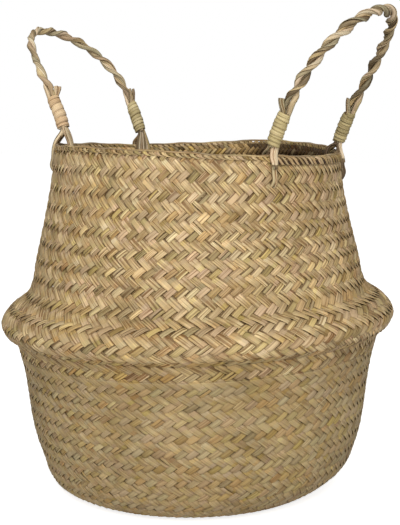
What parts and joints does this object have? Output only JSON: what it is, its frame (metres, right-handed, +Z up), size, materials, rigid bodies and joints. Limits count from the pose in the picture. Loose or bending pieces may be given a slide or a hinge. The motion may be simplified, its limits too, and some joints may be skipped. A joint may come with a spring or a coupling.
{
  "type": "belly basket",
  "caption": "Round plaited grass basket whose wall folds at the belly, with an open mouth and twisted swinging carrying handles tied through the rim.",
  "frame": {"origin": "on the floor under the middle of the belly", "axes": "+Z up, +X towards the taller (right) handle, both handles' pivot lines run along Y"},
  "size_m": [0.3837, 0.38, 0.4547],
  "materials": {
    "base_weave": "plaited dried grass, dull, shaded",
    "lower_weave": "plaited dried grass, dull",
    "fold_weave": "plaited dried grass, dull",
    "upper_weave": "plaited dried grass, slight sheen",
    "rim_plait": "plaited dried grass, dull",
    "loop_grass": "dried grass strand, slight sheen",
    "handle_grass": "twisted dried grass, slight sheen",
    "folded_grass": "cut dried grass ends",
    "binding_strip": "flat dried grass strip, satin"
  },
  "bodies": {
    "lower_body": {"base_disc": "base_weave", "lower_wall": "lower_weave"},
    "upper_body": {"belly_fold": "fold_weave", "upper_wall": "upper_weave", "rim_border": "rim_plait", "loop_right_front": "loop_grass", "loop_right_back": "loop_grass", "loop_left_front": "loop_grass", "loop_left_back": "loop_grass"},
    "right_handle": {"strand_right_a": "handle_grass", "strand_right_b": "handle_grass", "folded_end_right_front": "folded_grass", "folded_end_right_back": "folded_grass", "binding_right_front": "binding_strip", "binding_right_back": "binding_strip"},
    "left_handle": {"strand_left_a": "handle_grass", "strand_left_b": "handle_grass", "folded_end_left_front": "folded_grass", "folded_end_left_back": "folded_grass", "binding_left_front": "binding_strip", "binding_left_back": "binding_strip"}
  },
  "joints": [
    {"name": "belly_slide", "type": "slide", "parent": "lower_body", "child": "upper_body", "axis": [0, 0, 1], "range_m": [-0.035, 0.02], "deforming": ["belly_fold"]},
    {"name": "right_handle_swing", "type": "hinge", "parent": "upper_body", "child": "right_handle", "pos_m": [0.11584, 0, 0.32856], "axis": [0, 1, 0], "range_deg": [-85, 85], "deforming": ["loop_right_front", "loop_right_back"]},
    {"name": "left_handle_swing", "type": "hinge", "parent": "upper_body", "child": "left_handle", "pos_m": [-0.11395, 0, 0.33538], "axis": [0, -1, 0], "range_deg": [-75, 100], "deforming": ["loop_left_front", "loop_left_back"]}
  ]
}
